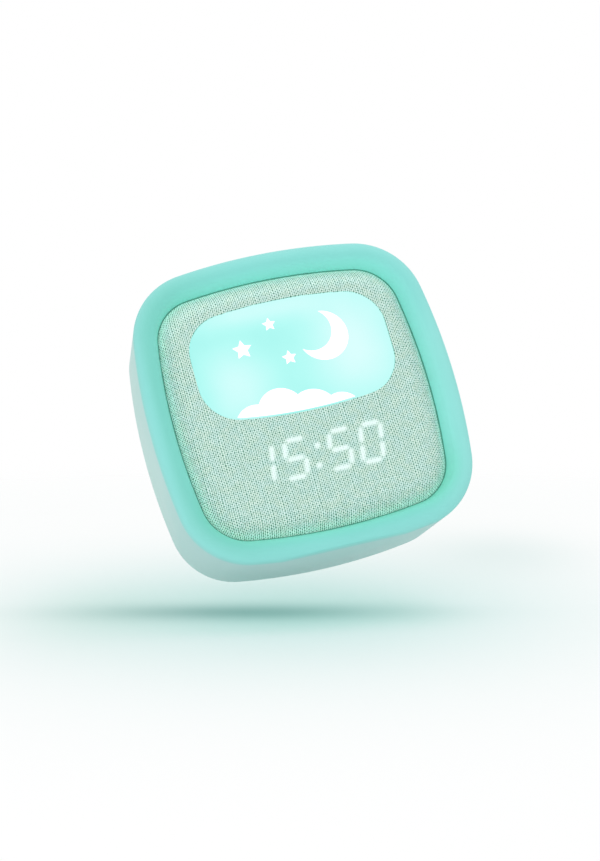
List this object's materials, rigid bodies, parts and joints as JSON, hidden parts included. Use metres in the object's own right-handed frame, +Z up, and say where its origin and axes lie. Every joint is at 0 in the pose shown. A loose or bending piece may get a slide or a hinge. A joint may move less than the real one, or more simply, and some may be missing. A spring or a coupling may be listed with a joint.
{
  "type": "kids alarm clock with night light",
  "caption": "Square bedside alarm clock for children: soft rounded sleeve, woven front with glowing window and digits, keys, slider, socket and speaker behind.",
  "frame": {"origin": "on the surface that the clock stands on, below the middle of its box", "axes": "+X to the right seen from the front, -Y out of the front, +Z up"},
  "size_m": [0.1, 0.04, 0.0989],
  "materials": {
    "sleeve_rubber": "smooth matt mint silicone rubber",
    "light_key_rubber": "smooth matt mint silicone rubber",
    "housing_plastic": "moulded, fine matt",
    "cover_plastic": "moulded, fine spark texture",
    "key_plastic": "moulded, satin",
    "woven_fabric": "plain weave melange of mint and grey yarn",
    "window_plastic": "milky, lit from behind",
    "print_white": "opaque white print",
    "reflector_white": "white, satin",
    "circuit_board": "solder mask over glass fibre",
    "led_chip": "white package with yellow phosphor",
    "block_dark": "dark matt face, white wells",
    "digit_glow": "clear resin, lit",
    "digit_clear": "clear resin, unlit",
    "ribbon_white": "flat cable",
    "chip_black": "moulded epoxy",
    "switch_metal": "pressed cover",
    "plunger_black": "moulded",
    "socket_steel": "drawn and plated",
    "speaker_steel": "zinc plated",
    "cone_paper": "coated paper",
    "foam_dark": "closed-cell foam",
    "cell_foil": "laminate pouch",
    "plug_white": "nylon",
    "lead_red": "insulated wire",
    "screw_steel": "zinc plated"
  },
  "bodies": {
    "clock": {"sleeve": "sleeve_rubber", "front_shell": "housing_plastic", "rear_cover": "cover_plastic", "fabric_cover": "woven_fabric", "fabric_carrier": "housing_plastic", "window_lens": "window_plastic", "window_print": "print_white", "light_box": "reflector_white", "lamp_board": "circuit_board", "lamp_leds": "led_chip", "digit_block": "block_dark", "digits_lit": "digit_glow", "digits_dark": "digit_clear", "display_board": "circuit_board", "display_chips": "led_chip", "display_ribbon": "ribbon_white", "main_board": "circuit_board", "board_chips": "chip_black", "tact_switches": "switch_metal", "light_switch": "switch_metal", "light_switch_board": "circuit_board", "alarm_switch": "switch_metal", "usb_shell": "socket_steel", "usb_tongue": "chip_black", "speaker_frame": "speaker_steel", "speaker_cone": "cone_paper", "speaker_magnet": "speaker_steel", "speaker_gasket": "foam_dark", "battery_cell": "cell_foil", "battery_pad": "foam_dark", "battery_plug": "plug_white", "battery_leads": "lead_red", "speaker_leads": "lead_red", "lamp_leads": "lead_red", "key_leads": "lead_red", "rear_screws": "screw_steel", "board_screws": "screw_steel"},
    "light_key": {"light_key": "light_key_rubber", "light_plunger": "plunger_black"},
    "time_key": {"time_key": "key_plastic", "time_plunger": "plunger_black"},
    "alarm_key": {"alarm_key": "key_plastic", "alarm_plunger": "plunger_black"},
    "plus_key": {"plus_key": "key_plastic", "plus_plunger": "plunger_black"},
    "minus_key": {"minus_key": "key_plastic", "minus_plunger": "plunger_black"},
    "alarm_slider": {"alarm_slider": "key_plastic"}
  },
  "joints": [
    {"name": "light_key_press", "type": "slide", "parent": "clock", "child": "light_key", "axis": [0, 0, -1], "range_m": [0, 0.0006], "stiffness_N_per_m": 1500, "springref_m": -0.0003},
    {"name": "time_key_press", "type": "slide", "parent": "clock", "child": "time_key", "axis": [0, -1, 0], "range_m": [0, 0.0004], "stiffness_N_per_m": 2000, "springref_m": -0.0003},
    {"name": "alarm_key_press", "type": "slide", "parent": "clock", "child": "alarm_key", "axis": [0, -1, 0], "range_m": [0, 0.0004], "stiffness_N_per_m": 2000, "springref_m": -0.0003},
    {"name": "plus_key_press", "type": "slide", "parent": "clock", "child": "plus_key", "axis": [0, -1, 0], "range_m": [0, 0.0004], "stiffness_N_per_m": 2000, "springref_m": -0.0003},
    {"name": "minus_key_press", "type": "slide", "parent": "clock", "child": "minus_key", "axis": [0, -1, 0], "range_m": [0, 0.0004], "stiffness_N_per_m": 2000, "springref_m": -0.0003},
    {"name": "alarm_slide", "type": "slide", "parent": "clock", "child": "alarm_slider", "axis": [1, 0, 0], "range_m": [0, 0.003]}
  ]
}
